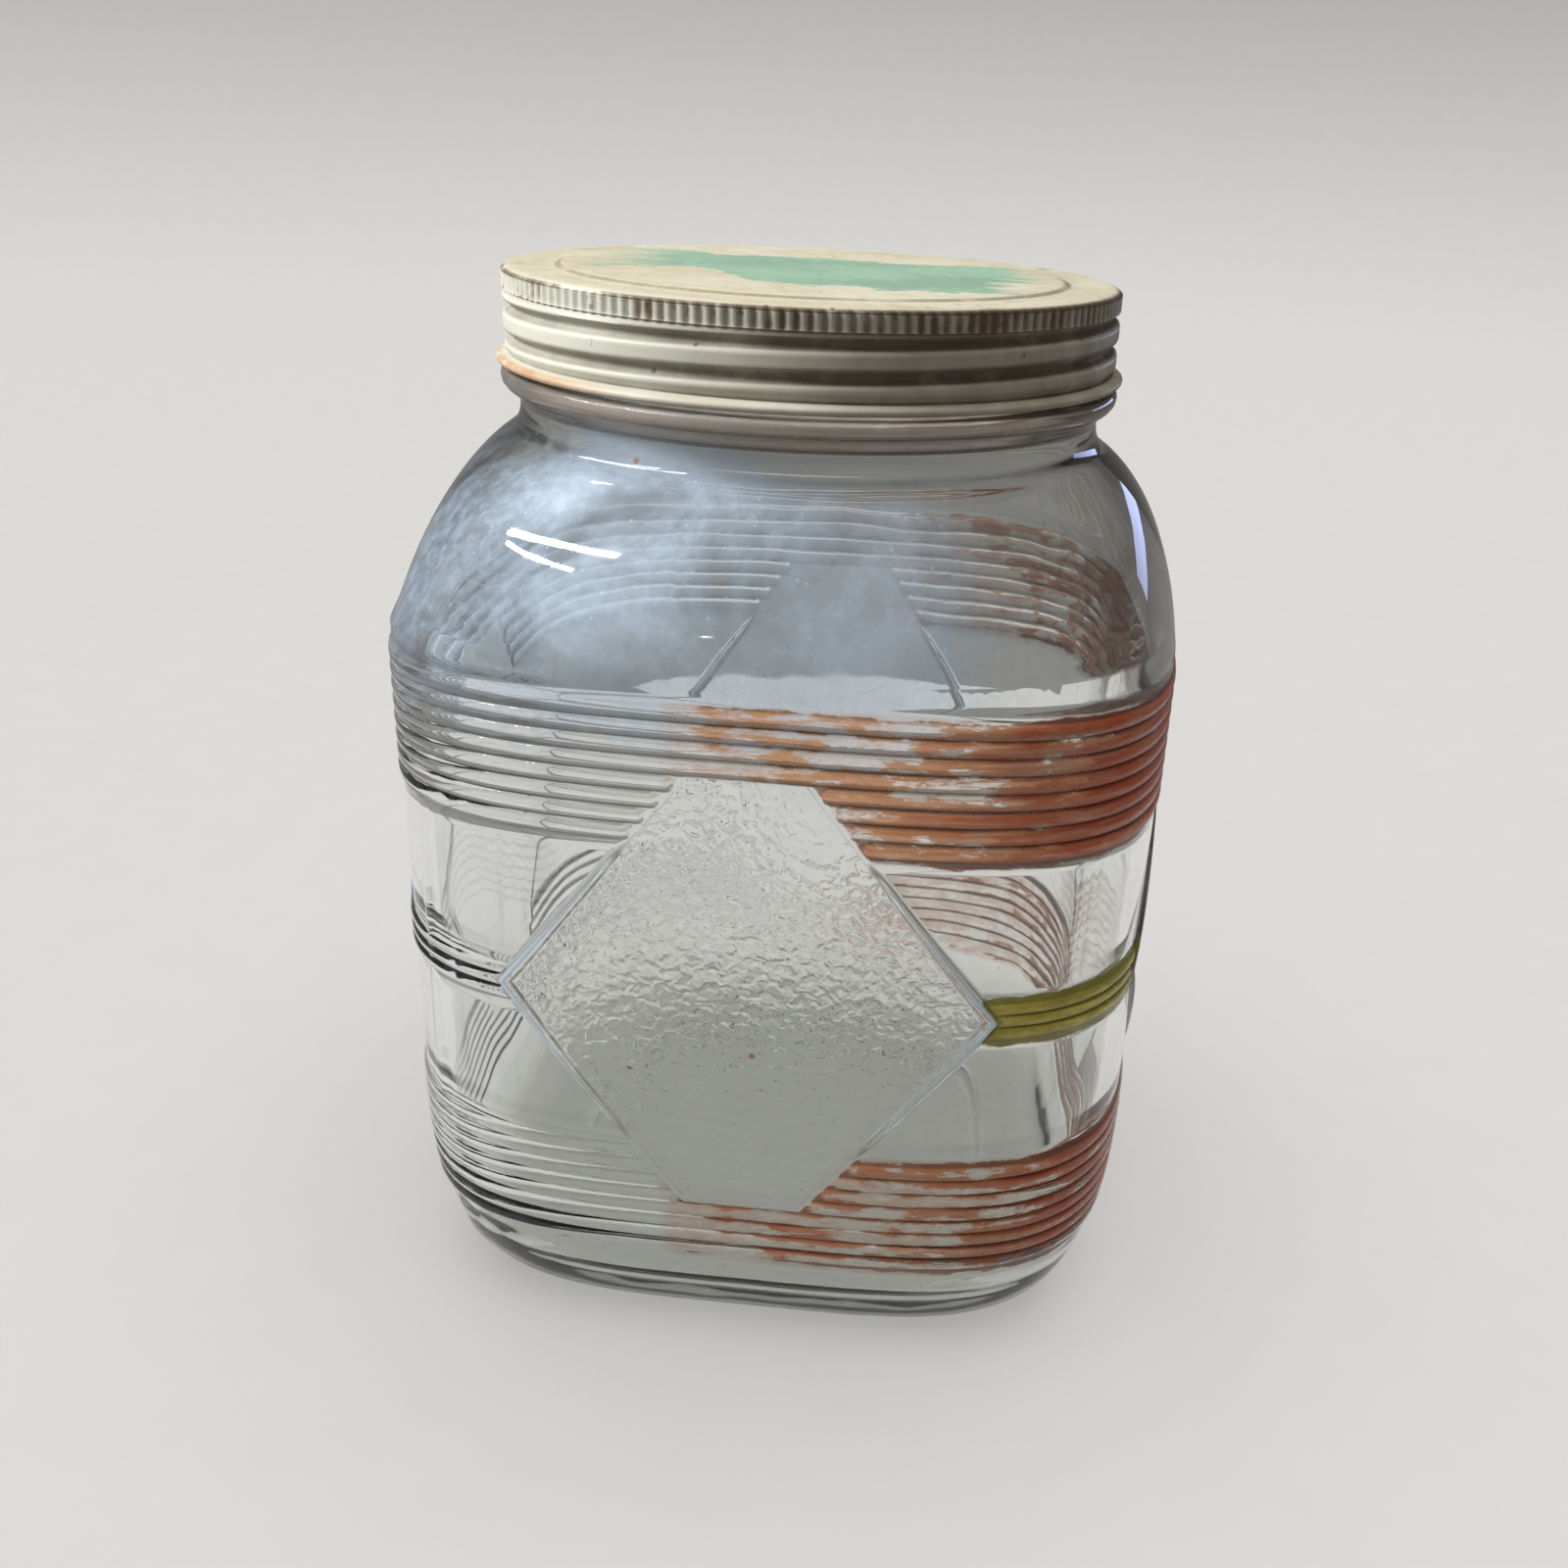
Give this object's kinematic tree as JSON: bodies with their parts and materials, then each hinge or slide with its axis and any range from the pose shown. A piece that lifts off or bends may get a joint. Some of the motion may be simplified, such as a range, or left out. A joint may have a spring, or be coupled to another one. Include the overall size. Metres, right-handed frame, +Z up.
{
  "type": "glass screw-lid jar",
  "caption": "Square-shouldered clear glass jar with ribbed bands, diamond panels and a one-piece knurled metal screw lid over a board liner.",
  "frame": {"origin": "middle of the base, on the surface the jar stands on", "axes": "+Z up along the axis of the mouth; +X to the right of the front panel; -Y out of the front panel"},
  "size_m": [0.143, 0.143, 0.19],
  "materials": {
    "jar_glass": "clear pressed soda-lime glass with a faint grey-green tint, hazed with wear",
    "lid_enamel": "aged cream enamel on tinplate, rust-stained in the knurls and at the hem",
    "pulp_board": "matt grey-brown pulp board",
    "coated_paper": "lightly waxed off-white paper"
  },
  "bodies": {
    "jar": {"glass_jar": "jar_glass"},
    "liner": {"liner_board": "pulp_board", "liner_facing": "coated_paper"},
    "lid": {"lid_shell": "lid_enamel"}
  },
  "joints": [
    {"name": "lid_rise", "type": "slide", "parent": "jar", "child": "liner", "axis": [0, 0, 1], "range_m": [0, 0.01525]},
    {"name": "lid_turn", "type": "hinge", "parent": "liner", "child": "lid", "pos_m": [0, 0, 0.18], "axis": [0, 0, 1], "range_deg": [0, 1080]}
  ],
  "couplings": [
    {"joint": "lid_rise", "follows": "lid_turn", "m_per_rad": 0.00080851}
  ]
}
